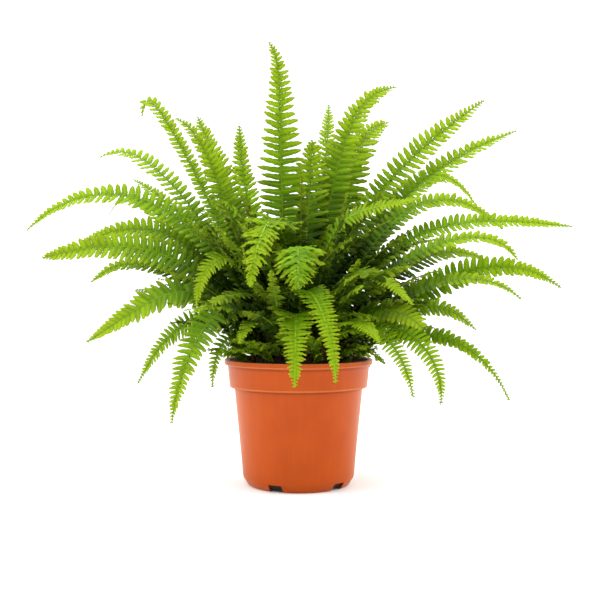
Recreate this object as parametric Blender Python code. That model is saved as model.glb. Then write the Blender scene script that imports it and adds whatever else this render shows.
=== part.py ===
# A Boston fern in its moulded nursery pot: the pot, the soil, the crown of the plant
# and every frond as one thin arching blade. Metres, +Z up, the origin in the middle of
# the foot that the pot stands on.
import math

import bmesh
import bpy
from mathutils import Matrix, Vector

MM = 0.001
GAP = 0.3 * MM  # clearance that touching neighbours keep

# Pot
POT_HEIGHT = 110 * MM
LIP_RADIUS = 65 * MM
LIP_DEPTH = 4.3 * MM
BAND_TOP_RADIUS = 62.2 * MM
BAND_FOOT_RADIUS = 60.4 * MM
BAND_FOOT_HEIGHT = 86.4 * MM
BODY_TOP_RADIUS = 56.3 * MM
BODY_FOOT_RADIUS = 48.6 * MM
FOOT_ROUNDING = 7.5 * MM
WALL = 1.4 * MM
FLOOR_RAISE = 5 * MM
FLOOR_SLOPE = 4 * MM      # run of the sloping edge of the raised floor
SLOPE_WALL = 0.7 * MM     # how far the slope's upper face stands outside its lower face
EDGE_BEVEL = 0.8 * MM     # bevel on the edges of the lip and the band
FOOT_RING_WIDTH = 5 * MM
FOOT_STEPS = 5
INNER_FOOT_STEPS = 4
ROUND_STEPS = 48

# Drain notches round the foot and the hole in the raised floor
NOTCH_COUNT = 5
NOTCH_WIDTH = 12.5 * MM
NOTCH_HEIGHT = 6.6 * MM
NOTCH_INNER_RADIUS = 34 * MM
FIRST_NOTCH_DEG = -115
DRAIN_HOLE_RADIUS = 5 * MM
DRAIN_HOLE_STEPS = 24

# Soil and crown
SOIL_TOP = 100 * MM
SOIL_EDGE_DROP = 2 * MM
CROWN_RADIUS = 41 * MM
CROWN_RISE = 24 * MM
CROWN_STEPS = 28
CROWN_RINGS = 6
STALK_SPREAD = 0.94       # share of the crown's radius that the stalks stand on
FIRST_STALK = 0.7         # keeps the first stalk off the very middle

# Fronds
FROND_RINGS = 12
STIPE_WIDTH = 2.4 * MM
TIP_WIDTH = 1.2 * MM
BLADE_START = 0.14        # share of the length where the leaflets begin
SWELL_SHARE = 0.35        # share of the blade over which it widens
SWELL_POWER = 0.8         # under 1 it widens fastest at first
TAPER_SHARE = 0.4         # share of the blade over which it narrows to its tip
BLADE_SHARE = 0.85        # how much of the leaflets' spread the solid blade takes
BLADE_RIDGE = 0.35 * MM
BLADE_KEEL = 0.9 * MM
TIP_THINNING = 0.5        # share of its thickness that a blade loses by its tip
BLADE_FOLD_DEG = 12       # the two halves of a blade rise a little from the midrib
RIDGE_LIFT = 0.3          # how far the ridge follows that rise
ROLL_SHARE = 1 / 3        # share of the curve over which the roll comes in

# heading  direction of the tip seen from above (0 to the right, 90 to the back)
# reach    how far the tip is from the axis, mm
# tip      height of the tip above the foot, mm
# rise     angle at which the stalk leaves the crown
# fall     angle at which the tip ends, negative when it droops
# lead     how far the frond keeps its first direction, as a share of its span
# hook     how long its last bend is, as a share of its span
# sway     how much the frond turns sideways on its way
# roll     how far the blade is turned about its own stalk
# width    spread of the longest pair of leaflets, mm
FRONDS = [
    # heading, reach, tip, rise, fall, lead, hook, sway, roll, width
    # upright fronds in the middle
    (158, 29, 390, 84, 48, 0.70, 0.12, 0, -55, 40),
    (171, 142, 326, 66, -90, 0.80, 0.20, 0, -50, 26),
    (159, 121, 328, 66, 25, 0.55, 0.20, 0, -55, 29),
    (139, 128, 336, 67, 62, 0.40, 0.38, 0, -45, 34),
    (118, 124, 332, 64, 86, 0.40, 0.40, 0, -35, 28),
    (60, 25, 305, 86, 84, 0.40, 0.40, 0, 25, 38),
    (30, 105, 358, 80, 8, 0.55, 0.25, 0, 50, 32),
    (75, 115, 352, 72, 60, 0.40, 0.30, 10, 15, 30),
    (43, 118, 330, 68, 12, 0.45, 0.30, 0, 40, 37),
    (18, 182, 347, 76, 34, 0.38, 0.42, 0, 60, 26),
    (15, 210, 318, 68, 20, 0.42, 0.40, 0, 35, 28),
    # right side, from the top down
    (29, 200, 248, 64, -50, 0.95, 0.30, 0, 50, 26),
    (5, 183, 224, 68, -45, 0.86, 0.30, 0, 45, 25),
    (0, 241, 226, 66, -6, 0.55, 0.40, 0, 40, 26),
    (-11, 188, 196, 62, -60, 0.50, 0.30, 0, 30, 31),
    (15, 180, 197, 54, -25, 0.50, 0.35, 0, 40, 28),
    (-8, 225, 172, 46, -40, 0.45, 0.35, 0, 60, 30),
    (-20, 193, 163, 50, -45, 0.50, 0.30, 0, 30, 26),
    (10, 163, 134, 48, -45, 0.60, 0.35, 0, 60, 26),
    (-15, 182, 78, 36, -68, 0.50, 0.42, 0, 45, 26),
    (-34, 138, 78, 50, -98, 0.70, 0.45, 0, 40, 28),
    (-48, 134, 87, 52, -80, 0.65, 0.40, 0, 30, 25),
    (-25, 80, 108, 45, -45, 0.50, 0.40, 0, 0, 20),
    (-40, 130, 140, 55, -40, 0.50, 0.35, 0, 35, 34),
    # front
    (-91, 145, 99, 55, -80, 0.60, 0.50, 0, 0, 34),
    (-79, 145, 102, 65, -86, 0.80, 0.50, 20, 0, 32),
    (-104, 148, 173, 80, -65, 1.05, 0.45, 0, -10, 32),
    (-90, 178, 172, 76, -48, 0.50, 0.45, 0, 8, 33),
    (-150, 98, 157, 74, -85, 1.10, 0.65, 0, -38, 34),
    (-140, 114, 152, 68, -25, 0.70, 0.40, -20, -10, 34),
    (-147, 123, 62, 62, -84, 0.85, 0.50, 0, -30, 38),
    (-20, 110, 248, 82, 12, 0.80, 0.45, 0, 40, 36),
    (-45, 128, 159, 70, -40, 0.80, 0.40, 0, 20, 34),
    (-63, 136, 131, 50, -40, 0.50, 0.35, 0, 10, 32),
    (-120, 95, 128, 56, -60, 0.60, 0.40, 0, 0, 30),
    # left side, from the bottom up
    (170, 148, 85, 50, -62, 0.75, 0.40, 0, -65, 25),
    (-160, 78, 87, 52, -92, 0.90, 0.60, 0, -30, 18),
    (-165, 183, 127, 53, -32, 0.70, 0.52, 0, -45, 37),
    (179, 183, 177, 52, -42, 0.65, 0.30, 0, -35, 30),
    (-176, 222, 198, 56, -15, 0.55, 0.40, 0, -55, 36),
    (171, 200, 213, 60, -22, 0.60, 0.40, 0, -50, 33),
    (176, 244, 223, 66, -45, 0.68, 0.33, 0, -45, 32),
    (155, 214, 296, 62, -30, 0.45, 0.25, 0, -35, 22),
    (150, 185, 277, 58, 25, 0.40, 0.30, 0, -30, 26),
    (161, 188, 240, 52, -60, 0.50, 0.30, 0, -30, 28),
    # back
    (60, 200, 250, 70, -30, 0.60, 0.35, 0, 0, 36),
    (90, 178, 238, 68, -30, 0.60, 0.40, 0, 0, 40),
    (127, 205, 240, 56, -25, 0.65, 0.35, 0, 0, 38),
    (75, 184, 130, 52, -55, 0.60, 0.40, 0, 0, 38),
    (105, 184, 120, 52, -50, 0.60, 0.40, 0, 0, 40),
    (45, 185, 112, 54, -60, 0.60, 0.40, 0, 0, 36),
    (128, 180, 115, 52, -60, 0.60, 0.40, 0, 0, 36),
    (88, 130, 72, 48, -85, 0.80, 0.45, 0, 0, 36),
    (76, 135, 190, 62, -50, 0.80, 0.40, 0, 0, 34),
    (102, 140, 180, 60, -50, 0.80, 0.40, 0, 0, 36),
    (118, 125, 82, 46, -85, 0.80, 0.45, 0, 0, 32),
    (60, 128, 85, 46, -85, 0.80, 0.45, 0, 0, 32),
]

POT_PLASTIC = ("pot_plastic", (0.62, 0.14, 0.04), 0.42)
SOIL_PEAT = ("soil_peat", (0.02, 0.014, 0.01), 0.95)
CROWN_FELT = ("crown_stalks", (0.07, 0.09, 0.02), 0.8)
FROND_GREEN = ("frond_green", (0.18, 0.36, 0.02), 0.5)


def make_material(finish):
    name, colour, roughness = finish
    if name in bpy.data.materials:
        return bpy.data.materials[name]
    material = bpy.data.materials.new(name)
    material.use_nodes = True
    shader = material.node_tree.nodes["Principled BSDF"]
    shader.inputs["Base Color"].default_value = (*colour, 1)
    shader.inputs["Roughness"].default_value = roughness
    shader.inputs["Metallic"].default_value = 0
    return material


def add_object(name, mesh_data, finish):
    mesh = bpy.data.meshes.new(name)
    bmesh.ops.recalc_face_normals(mesh_data, faces=mesh_data.faces[:])
    mesh_data.to_mesh(mesh)
    mesh_data.free()
    mesh.materials.append(make_material(finish))
    thing = bpy.data.objects.new(name, mesh)
    bpy.context.scene.collection.objects.link(thing)
    return thing


def turn(outline, steps):
    """A closed round solid from (radius, height) points, the first and last on the axis
    or the outline closed on itself."""
    solid = bmesh.new()
    rings = []
    for radius, height in outline:
        if radius == 0:
            rings.append([solid.verts.new((0, 0, height))])
            continue
        ring = []
        for step in range(steps):
            angle = math.tau * step / steps
            ring.append(solid.verts.new((radius * math.cos(angle), radius * math.sin(angle), height)))
        rings.append(ring)
    for lower, upper in zip(rings, rings[1:]):
        for step in range(steps):
            ahead = (step + 1) % steps
            corners = [lower[step % len(lower)], lower[ahead % len(lower)]]
            corners += [upper[ahead % len(upper)], upper[step % len(upper)]]
            solid.faces.new(list(dict.fromkeys(corners)))
    return solid


def arc_points(centre, radius, from_deg, to_deg, count):
    points = []
    for index in range(count + 1):
        angle = math.radians(from_deg + (to_deg - from_deg) * index / count)
        points.append((centre[0] + radius * math.cos(angle), centre[1] + radius * math.sin(angle)))
    return points


def wall_radius(height):
    """Inner radius of the pot's body below the band."""
    share = (height - FOOT_ROUNDING) / (BAND_FOOT_HEIGHT - FOOT_ROUNDING)
    return BODY_FOOT_RADIUS + (BODY_TOP_RADIUS - BODY_FOOT_RADIUS) * share - WALL


def band_radius(height):
    """Inner radius of the band under the lip."""
    share = (height - BAND_FOOT_HEIGHT) / (POT_HEIGHT - BAND_FOOT_HEIGHT)
    return BAND_FOOT_RADIUS + (BAND_TOP_RADIUS - BAND_FOOT_RADIUS) * share - WALL


def make_pot():
    foot_centre = (BODY_FOOT_RADIUS - FOOT_ROUNDING, FOOT_ROUNDING)
    ring_inside = foot_centre[0] - FOOT_RING_WIDTH
    outline = [(0, FLOOR_RAISE), (ring_inside - FLOOR_SLOPE, FLOOR_RAISE), (ring_inside, 0)]
    outline += arc_points(foot_centre, FOOT_ROUNDING, -90, 0, FOOT_STEPS)
    outline += [
        (BODY_TOP_RADIUS, BAND_FOOT_HEIGHT - EDGE_BEVEL),
        (BAND_FOOT_RADIUS - EDGE_BEVEL, BAND_FOOT_HEIGHT - EDGE_BEVEL),
        (BAND_FOOT_RADIUS, BAND_FOOT_HEIGHT),
        (BAND_TOP_RADIUS, POT_HEIGHT - LIP_DEPTH),
        (LIP_RADIUS - EDGE_BEVEL, POT_HEIGHT - LIP_DEPTH),
        (LIP_RADIUS, POT_HEIGHT - LIP_DEPTH + EDGE_BEVEL),
        (LIP_RADIUS, POT_HEIGHT - EDGE_BEVEL),
        (LIP_RADIUS - EDGE_BEVEL, POT_HEIGHT),
        (band_radius(POT_HEIGHT) + EDGE_BEVEL, POT_HEIGHT),
        (band_radius(POT_HEIGHT), POT_HEIGHT - EDGE_BEVEL),
        (band_radius(BAND_FOOT_HEIGHT), BAND_FOOT_HEIGHT + WALL),
        (wall_radius(BAND_FOOT_HEIGHT), BAND_FOOT_HEIGHT),
    ]
    outline += arc_points(foot_centre, FOOT_ROUNDING - WALL, 0, -90, INNER_FOOT_STEPS)
    outline += [
        (ring_inside + SLOPE_WALL, WALL),
        (ring_inside - FLOOR_SLOPE + SLOPE_WALL, FLOOR_RAISE + WALL),
        (0, FLOOR_RAISE + WALL),
    ]
    pot = add_object("pot", turn(outline, ROUND_STEPS), POT_PLASTIC)
    for index in range(NOTCH_COUNT):
        cut_away(pot, make_notch(index))
    cut_away(pot, make_drain_hole())
    pot.data.shade_smooth()
    return pot


def make_notch(index):
    """A box across the rounded edge of the foot, open below and outwards."""
    length = LIP_RADIUS - NOTCH_INNER_RADIUS
    block = bmesh.new()
    bmesh.ops.create_cube(block, size=1)
    bmesh.ops.scale(block, vec=(length, NOTCH_WIDTH, NOTCH_HEIGHT * 2), verts=block.verts)
    bmesh.ops.translate(block, vec=(NOTCH_INNER_RADIUS + length / 2, 0, 0), verts=block.verts)
    turn_deg = FIRST_NOTCH_DEG + index * 360 / NOTCH_COUNT
    bmesh.ops.rotate(block, matrix=Matrix.Rotation(math.radians(turn_deg), 3, "Z"), verts=block.verts)
    return as_cutter("notch_cutter_%d" % (index + 1), block)


def make_drain_hole():
    block = bmesh.new()
    bmesh.ops.create_cone(
        block, cap_ends=True, segments=DRAIN_HOLE_STEPS,
        radius1=DRAIN_HOLE_RADIUS, radius2=DRAIN_HOLE_RADIUS, depth=FLOOR_RAISE * 4,
    )
    return as_cutter("drain_hole_cutter", block)


def as_cutter(name, block):
    cutter = add_object(name, block, POT_PLASTIC)
    cutter.hide_render = True
    cutter.display_type = "WIRE"
    return cutter


def cut_away(thing, cutter):
    cut = thing.modifiers.new(cutter.name, "BOOLEAN")
    cut.operation = "DIFFERENCE"
    cut.solver = "EXACT"
    cut.object = cutter


def make_soil():
    foot_centre = (BODY_FOOT_RADIUS - FOOT_ROUNDING, FOOT_ROUNDING)
    ring_inside = foot_centre[0] - FOOT_RING_WIDTH
    floor = FLOOR_RAISE + WALL + GAP
    slope_foot = ring_inside + SLOPE_WALL + GAP
    outline = [(0, floor), (slope_foot - FLOOR_SLOPE, floor), (slope_foot, WALL + GAP)]
    outline += arc_points(foot_centre, FOOT_ROUNDING - WALL - GAP, -90, 0, INNER_FOOT_STEPS)
    outline += [
        (wall_radius(BAND_FOOT_HEIGHT) - GAP, BAND_FOOT_HEIGHT + GAP),
        (band_radius(BAND_FOOT_HEIGHT) - GAP, BAND_FOOT_HEIGHT + WALL + GAP),
        (band_radius(SOIL_TOP - SOIL_EDGE_DROP) - GAP, SOIL_TOP - SOIL_EDGE_DROP),
        (band_radius(SOIL_TOP) - SOIL_EDGE_DROP, SOIL_TOP),
        (CROWN_RADIUS, SOIL_TOP),
        (0, SOIL_TOP),
    ]
    soil = add_object("soil", turn(outline, ROUND_STEPS), SOIL_PEAT)
    soil.data.shade_smooth()
    return soil


def crown_height(radius):
    """Height of the crown's domed top at a distance from the axis."""
    share = min(radius / CROWN_RADIUS, 1)
    return SOIL_TOP + GAP + CROWN_RISE * math.sqrt(1 - share * share)


def make_crown():
    outline = [(0, SOIL_TOP + GAP)]
    for ring in range(CROWN_RINGS):
        radius = CROWN_RADIUS * math.cos(math.radians(90 * ring / CROWN_RINGS))
        outline.append((radius, crown_height(radius)))
    outline.append((0, crown_height(0)))
    crown = add_object("crown", turn(outline, CROWN_STEPS), CROWN_FELT)
    crown.data.shade_smooth()
    return crown


def direction(heading, climb):
    """Unit vector towards a heading, climbing at an angle, both in degrees."""
    flat = math.cos(math.radians(climb))
    across = math.radians(heading)
    return Vector((flat * math.cos(across), flat * math.sin(across), math.sin(math.radians(climb))))


def root_radii():
    """The steeper a frond, the nearer to the middle of the crown it stands."""
    order = sorted(range(len(FRONDS)), key=lambda index: -FRONDS[index][3])
    radii = [0] * len(FRONDS)
    for rank, index in enumerate(order):
        radii[index] = CROWN_RADIUS * STALK_SPREAD * math.sqrt((rank + FIRST_STALK) / len(FRONDS))
    return radii


def frond_curve(frond, root_radius):
    """Four control points of the stalk: root, two handles, tip."""
    heading, reach, tip, rise, fall, lead, hook, sway = frond[:8]
    leave = direction(heading - sway, rise)
    arrive = direction(heading + sway, fall)
    root = direction(heading - sway / 2, 0) * root_radius
    root.z = crown_height(root_radius)
    root += leave * GAP
    end = direction(heading, 0) * reach * MM
    end.z = tip * MM
    span = (end - root).length
    return root, root + leave * span * lead, end - arrive * span * hook, end


def curve_point(controls, t):
    root, first, second, end = controls
    s = 1 - t
    return root * s ** 3 + first * 3 * s * s * t + second * 3 * s * t * t + end * t ** 3


def curve_direction(controls, t):
    root, first, second, end = controls
    s = 1 - t
    speed = (first - root) * s * s + (second - first) * 2 * s * t + (end - second) * t * t
    return speed.normalized()


def blade_width(share, width):
    """Width of the solid blade at a share of its length: stalk, swell, taper."""
    if share <= BLADE_START:
        return STIPE_WIDTH
    along = (share - BLADE_START) / (1 - BLADE_START)
    swell = min(1, along / SWELL_SHARE) ** SWELL_POWER
    taper = math.sin(math.pi / 2 * min(1, (1 - along) / TAPER_SHARE))
    return max(TIP_WIDTH, width * MM * BLADE_SHARE * swell * taper)


def make_frond(index, frond, root_radius):
    heading, roll, width = frond[0], frond[8], frond[9]
    controls = frond_curve(frond, root_radius)
    fold = math.radians(BLADE_FOLD_DEG)
    side = direction(heading - 90, 0)
    solid = bmesh.new()
    rings = []
    for ring in range(FROND_RINGS):
        t = ring / FROND_RINGS
        along = curve_direction(controls, t)
        side = (side - along * side.dot(along)).normalized()
        upper = side.cross(along)
        turned = Matrix.Rotation(math.radians(roll) * min(1, t / ROLL_SHARE), 3, along)
        right = turned @ side
        top = turned @ upper
        half = blade_width(t, width) / 2
        centre = curve_point(controls, t)
        lift = top * half * math.sin(fold)
        thin = 1 - TIP_THINNING * t
        corners = [
            centre + right * half * math.cos(fold) + lift,
            centre + top * BLADE_RIDGE * thin + lift * RIDGE_LIFT,
            centre - right * half * math.cos(fold) + lift,
            centre - top * BLADE_KEEL * thin,
        ]
        rings.append([solid.verts.new(corner) for corner in corners])
    point = solid.verts.new(controls[3])
    for near, far in zip(rings, rings[1:]):
        for corner in range(4):
            ahead = (corner + 1) % 4
            solid.faces.new((near[corner], near[ahead], far[ahead], far[corner]))
    for corner in range(4):
        solid.faces.new((rings[-1][corner], rings[-1][(corner + 1) % 4], point))
    solid.faces.new(rings[0])
    blade = add_object("frond_%02d" % (index + 1), solid, FROND_GREEN)
    blade.data.shade_smooth()
    return blade


def main():
    for thing in list(bpy.data.objects):
        bpy.data.objects.remove(thing)
    make_pot()
    make_soil()
    make_crown()
    for index, (frond, root_radius) in enumerate(zip(FRONDS, root_radii())):
        make_frond(index, frond, root_radius)


main()
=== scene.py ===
import math
import random

import bmesh
import bpy
import numpy as np
from mathutils import Matrix, Vector, noise


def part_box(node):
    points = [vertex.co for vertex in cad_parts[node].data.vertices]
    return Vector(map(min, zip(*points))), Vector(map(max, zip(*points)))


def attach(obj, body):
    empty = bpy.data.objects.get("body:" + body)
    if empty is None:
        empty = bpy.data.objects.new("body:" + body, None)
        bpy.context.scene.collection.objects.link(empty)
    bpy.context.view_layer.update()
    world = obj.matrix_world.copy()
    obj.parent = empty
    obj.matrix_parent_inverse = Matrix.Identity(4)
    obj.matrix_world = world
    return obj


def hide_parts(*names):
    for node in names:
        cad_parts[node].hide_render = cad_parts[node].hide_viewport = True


# A potted fern: arching fronds with two rows of leaflets each, in a moulded nursery pot.
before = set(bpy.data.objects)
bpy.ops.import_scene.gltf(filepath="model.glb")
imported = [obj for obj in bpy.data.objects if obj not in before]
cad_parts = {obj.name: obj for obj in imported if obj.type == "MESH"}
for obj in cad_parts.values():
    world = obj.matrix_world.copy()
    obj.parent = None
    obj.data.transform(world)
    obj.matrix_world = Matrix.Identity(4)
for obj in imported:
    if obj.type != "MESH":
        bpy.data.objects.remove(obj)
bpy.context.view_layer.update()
mm = 0.001
up = Vector((0, 0, 1))


# One output of a shader node. Operators on it add Math nodes to the same finish.
class Wire:
    def __init__(self, finish, socket):
        self.finish = finish
        self.socket = socket

    def __add__(self, other):
        return self.finish.maths("ADD", self, other)

    def __radd__(self, other):
        return self.finish.maths("ADD", other, self)

    def __sub__(self, other):
        return self.finish.maths("SUBTRACT", self, other)

    def __rsub__(self, other):
        return self.finish.maths("SUBTRACT", other, self)

    def __mul__(self, other):
        return self.finish.maths("MULTIPLY", self, other)

    def __rmul__(self, other):
        return self.finish.maths("MULTIPLY", other, self)

    def __pow__(self, other):
        return self.finish.maths("POWER", self, other)

    def __abs__(self):
        return self.finish.maths("ABSOLUTE", self)


# A material under construction: its own node tree and the few helpers that fill it.
class Finish:
    def __init__(self, name):
        self.material = bpy.data.materials.new(name)
        self.material.use_nodes = True
        self.tree = self.material.node_tree
        self.tree.nodes.clear()

    # kind is the node's type, settings are set before the sockets, inputs hold values or wires
    def node(self, kind, settings=None, inputs=None, output=0):
        made = self.tree.nodes.new("ShaderNode" + kind)
        for key, value in (settings or {}).items():
            setattr(made, key, value)
        for key, value in (inputs or {}).items():
            if isinstance(value, Wire):
                self.tree.links.new(value.socket, made.inputs[key])
            else:
                made.inputs[key].default_value = value
        return Wire(self, made.outputs[output] if made.outputs else None)

    def maths(self, operation, *values):
        return self.node("Math", {"operation": operation}, dict(enumerate(values)))

    def smooth(self, value, low, high):
        settings = {"interpolation_type": "SMOOTHSTEP"}
        return self.node("MapRange", settings, {"Value": value, "From Min": low, "From Max": high})

    # inputs 6 and 7 of the node are its two colours, output 2 their mix
    def mix(self, share, first, second):
        first, second = (c if isinstance(c, Wire) else (*c, 1) for c in (first, second))
        return self.node("Mix", {"data_type": "RGBA"}, {0: share, 6: first, 7: second}, 2)

    def place(self, stretch=(1, 1, 1)):
        where = self.node("TexCoord", output="Object")
        return self.node("VectorMath", {"operation": "MULTIPLY"}, {0: where, 1: stretch})

    def noise(self, size, detail=3, stretch=(1, 1, 1), roughness=0.5):
        inputs = {"Vector": self.place(stretch), "Scale": 1 / size}
        return self.node("TexNoise", {}, {**inputs, "Detail": detail, "Roughness": roughness})

    # reads a vector stored on the mesh's points as three wires
    def stored(self, name):
        vector = self.node("Attribute", {"attribute_name": name}, output="Vector")
        parts = self.node("SeparateXYZ", {}, {0: vector}).socket.node.outputs
        return [Wire(self, part) for part in parts]

    def bump(self, height, depth):
        return self.node("Bump", {}, {"Height": height, "Distance": depth, "Strength": 1})

    def principled(self, **inputs):
        named = {key.replace("_", " "): value for key, value in inputs.items()}
        return self.node("BsdfPrincipled", {}, named)

    def show(self, shader):
        self.node("OutputMaterial", {}, {"Surface": shader})
        return self.material


def addPiece(name, mesh, nodes=()):
    piece = bpy.data.objects.new(name, mesh)
    bpy.context.scene.collection.objects.link(piece)
    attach(piece, "root")
    if nodes:
        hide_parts(*nodes)


# Camera, light and floor
studio = {
    "cameraPlace": (0.0013, -0.9, 0.175),
    "cameraAim": (0.0013, 0, 0.1616),
    "lens": 61.5,
    "skyStrength": 1.6,
    "floorColour": (0.9, 0.9, 0.9),
    "floorRadius": 30,
}

# place, aim, size and power of each softbox
softboxes = {
    "topBox": ((-0.2, 0.1, 1.5), (0, 0, 0.25), 0.9, 22),
    "leftBox": ((-1.3, -0.2, 0.7), (0, 0, 0.15), 0.8, 10),
    "rightBox": ((1.3, -0.1, 0.6), (0, 0, 0.15), 0.8, 10),
}


def aimAt(thing, place, target):
    thing.location = place
    thing.rotation_euler = (Vector(target) - Vector(place)).to_track_quat("-Z", "Y").to_euler()


def makeStudio():
    scene = bpy.context.scene
    scene.view_settings.view_transform = "Standard"
    camera = bpy.data.objects.new("camera", bpy.data.cameras.new("camera"))
    scene.collection.objects.link(camera)
    camera.data.lens = studio["lens"]
    aimAt(camera, studio["cameraPlace"], studio["cameraAim"])
    scene.camera = camera

    world = bpy.data.worlds.new("studioWhite")
    world.use_nodes = True
    sky = world.node_tree.nodes["Background"]
    sky.inputs["Color"].default_value = (1, 1, 1, 1)
    sky.inputs["Strength"].default_value = studio["skyStrength"]
    scene.world = world

    for name, (place, target, size, power) in softboxes.items():
        lamp = bpy.data.lights.new(name, "AREA")
        lamp.size = size
        lamp.energy = power
        box = bpy.data.objects.new(name, lamp)
        scene.collection.objects.link(box)
        aimAt(box, place, target)

    shape = bmesh.new()
    bmesh.ops.create_circle(shape, cap_ends=True, segments=96, radius=studio["floorRadius"])
    mesh = bpy.data.meshes.new("floor")
    shape.to_mesh(mesh)
    shape.free()
    paint = Finish("floorWhite")
    mesh.materials.append(paint.show(paint.principled(
        Base_Color=(*studio["floorColour"], 1), Roughness=0.7, Specular_IOR_Level=0.2)))
    floor = bpy.data.objects.new("floor", mesh)
    scene.collection.objects.link(floor)
    print("studio ready")


# The nursery pot. Heights and radii follow the solid; the edges get their moulded roundings.
pot = {
    "lipDepth": 4.3 * mm,
    "bandTopRadius": 62.2 * mm,
    "bandFootRadius": 60.4 * mm,
    "bandFootHeight": 86.4 * mm,
    "bodyTopRadius": 56.3 * mm,
    "bodyFootRadius": 48.6 * mm,
    "footRounding": 7.5 * mm,
    "wall": 1.4 * mm,
    "floorRaise": 5 * mm,
    "floorSlope": 4 * mm,
    "footRingWidth": 5 * mm,
    "edgeRounding": 0.7 * mm,
    "notchCount": 5,
    "notchWidth": 12.5 * mm,
    "notchHeight": 6.6 * mm,
    "notchRounding": 1.2 * mm,
    "notchInner": 34 * mm,
    "firstNotch": -115,        # degrees round from +X
    "holeRadius": 5 * mm,
    "steps": 168,
    "bendStep": 0.35,          # radians between the points of a rounding
    "orange": (0.348, 0.051, 0.0008),
    "pale": (0.400, 0.082, 0.014),
    "deep": (0.322, 0.044, 0.0006),
    # pale colour of the painted highlight on the edges and of the painted sheen
    "sheenHighlight": (0.430, 0.135, 0.035),
    # colour of the painted shade under the lip and band
    "shadeUnderLedge": (0.180, 0.022, 0.0005),
}


# (radius, height, rounding) corners to a smooth outline; a corner with no rounding stays sharp
def rounded(corners):
    outline = []
    for index, (radius, height, rounding) in enumerate(corners):
        here = Vector((radius, height))
        if rounding == 0:
            outline.append(here)
            continue
        before = Vector(corners[index - 1][:2]) - here
        after = Vector(corners[index + 1][:2]) - here
        half = before.angle(after) / 2
        reach = min(rounding / math.tan(half), before.length * 0.48, after.length * 0.48)
        bend = reach * math.tan(half)
        middle = here + (before.normalized() + after.normalized()).normalized() * bend / math.sin(half)
        start = here + before.normalized() * reach - middle
        turn = start.angle_signed(here + after.normalized() * reach - middle)
        steps = max(2, round(abs(turn) / pot["bendStep"]))
        for step in range(steps + 1):
            outline.append(middle + Matrix.Rotation(-turn * step / steps, 2) @ start)
    return outline


def lathe(outline, steps):
    shape = bmesh.new()
    rings = []
    for point in outline:
        if point.x < 1e-6:
            rings.append([shape.verts.new((0, 0, point.y))])
            continue
        ring = []
        for step in range(steps):
            angle = math.tau * step / steps
            place = (point.x * math.cos(angle), point.x * math.sin(angle), point.y)
            ring.append(shape.verts.new(place))
        rings.append(ring)
    for low, high in zip(rings, rings[1:]):
        for step in range(steps):
            ahead = (step + 1) % steps
            corners = [low[step % len(low)], low[ahead % len(low)]]
            corners += [high[ahead % len(high)], high[step % len(high)]]
            shape.faces.new(list(dict.fromkeys(corners)))
    bmesh.ops.recalc_face_normals(shape, faces=shape.faces[:])
    return shape


def toMesh(name, shape):
    mesh = bpy.data.meshes.new(name)
    shape.to_mesh(mesh)
    shape.free()
    mesh.shade_smooth()
    return mesh


# cuts the tools out of the mesh and returns the result
def cutOut(mesh, tools):
    blank = bpy.data.objects.new("blank", mesh)
    bpy.context.scene.collection.objects.link(blank)
    cutters = []
    for tool in tools:
        cutter = bpy.data.objects.new("cutter", tool)
        bpy.context.scene.collection.objects.link(cutter)
        cut = blank.modifiers.new("cut", "BOOLEAN")
        cut.object = cutter
        cutters.append(cutter)
    solid = blank.evaluated_get(bpy.context.evaluated_depsgraph_get())
    result = bpy.data.meshes.new_from_object(solid)
    for spare in [blank, *cutters]:
        bpy.data.objects.remove(spare)
    return result


def potOutline(lipRadius, height):
    edge = pot["edgeRounding"]
    wall = pot["wall"]
    footRadius = pot["bodyFootRadius"]
    bend = pot["footRounding"]
    ringInside = footRadius - bend - pot["footRingWidth"]
    raised = ringInside - pot["floorSlope"]
    bandFoot = pot["bandFootHeight"]
    return rounded([
        (0, pot["floorRaise"], 0),
        (raised, pot["floorRaise"], 1.5 * mm),
        (ringInside, 0, edge),
        (footRadius - bend * 0.62, 0, 4 * mm),
        (footRadius, bend, 6 * mm),
        (pot["bodyTopRadius"], bandFoot - edge, 0.35 * mm),
        (pot["bandFootRadius"] - edge * 0.5, bandFoot - edge, edge),
        (pot["bandFootRadius"], bandFoot + edge * 0.5, edge),
        (pot["bandTopRadius"], height - pot["lipDepth"], 0.5 * mm),
        (lipRadius, height - pot["lipDepth"], edge),
        (lipRadius, height, edge),
        (pot["bandTopRadius"] - wall, height, edge),
        (pot["bandFootRadius"] - wall, bandFoot + wall, edge),
        (pot["bodyTopRadius"] - wall, bandFoot, edge),
        (footRadius - wall, bend, 4 * mm),
        (footRadius - bend * 0.7, wall, 3 * mm),
        (ringInside + wall / 2, wall, edge),
        (raised + wall / 2, pot["floorRaise"] + wall, edge),
        (0, pot["floorRaise"] + wall, 0),
    ])


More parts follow.
